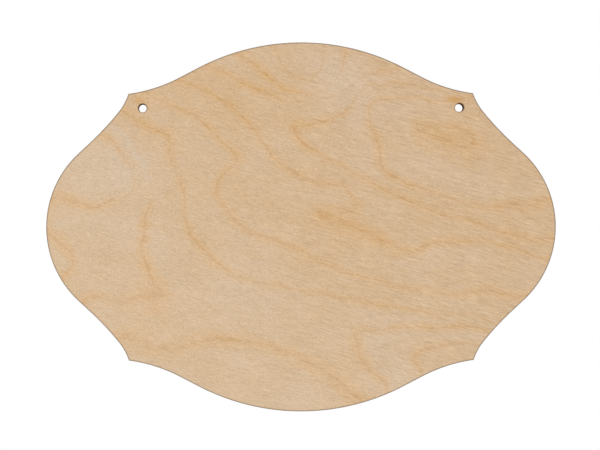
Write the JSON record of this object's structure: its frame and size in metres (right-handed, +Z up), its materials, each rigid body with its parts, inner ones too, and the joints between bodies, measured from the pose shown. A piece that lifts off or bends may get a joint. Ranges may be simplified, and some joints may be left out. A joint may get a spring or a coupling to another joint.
{
  "type": "ema plaque",
  "caption": "Blank flat hanging plaque of laminated birch plywood with a bracketed ogee outline, pointed corners and hanging holes at the upper corners.",
  "frame": {"origin": "centre of the plaque's outline on its flat back face", "axes": "+X to the viewer's right along the width, +Z up as it hangs, +Y out of the back face into the wall, so the front looks along -Y"},
  "size_m": [0.29, 0.004, 0.21],
  "materials": {
    "front_veneer": "bare sanded birch veneer with scorched cut edges",
    "core_veneer": "bare birch veneer, grain across the faces, scorched where it is cut",
    "back_veneer": "bare sanded birch veneer with scorched cut edges",
    "glue": "dark hardened phenolic resin film"
  },
  "bodies": {
    "root": {"front_face_veneer": "front_veneer", "front_glue_line": "glue", "core_veneer": "core_veneer", "back_glue_line": "glue", "back_face_veneer": "back_veneer"}
  },
  "joints": []
}
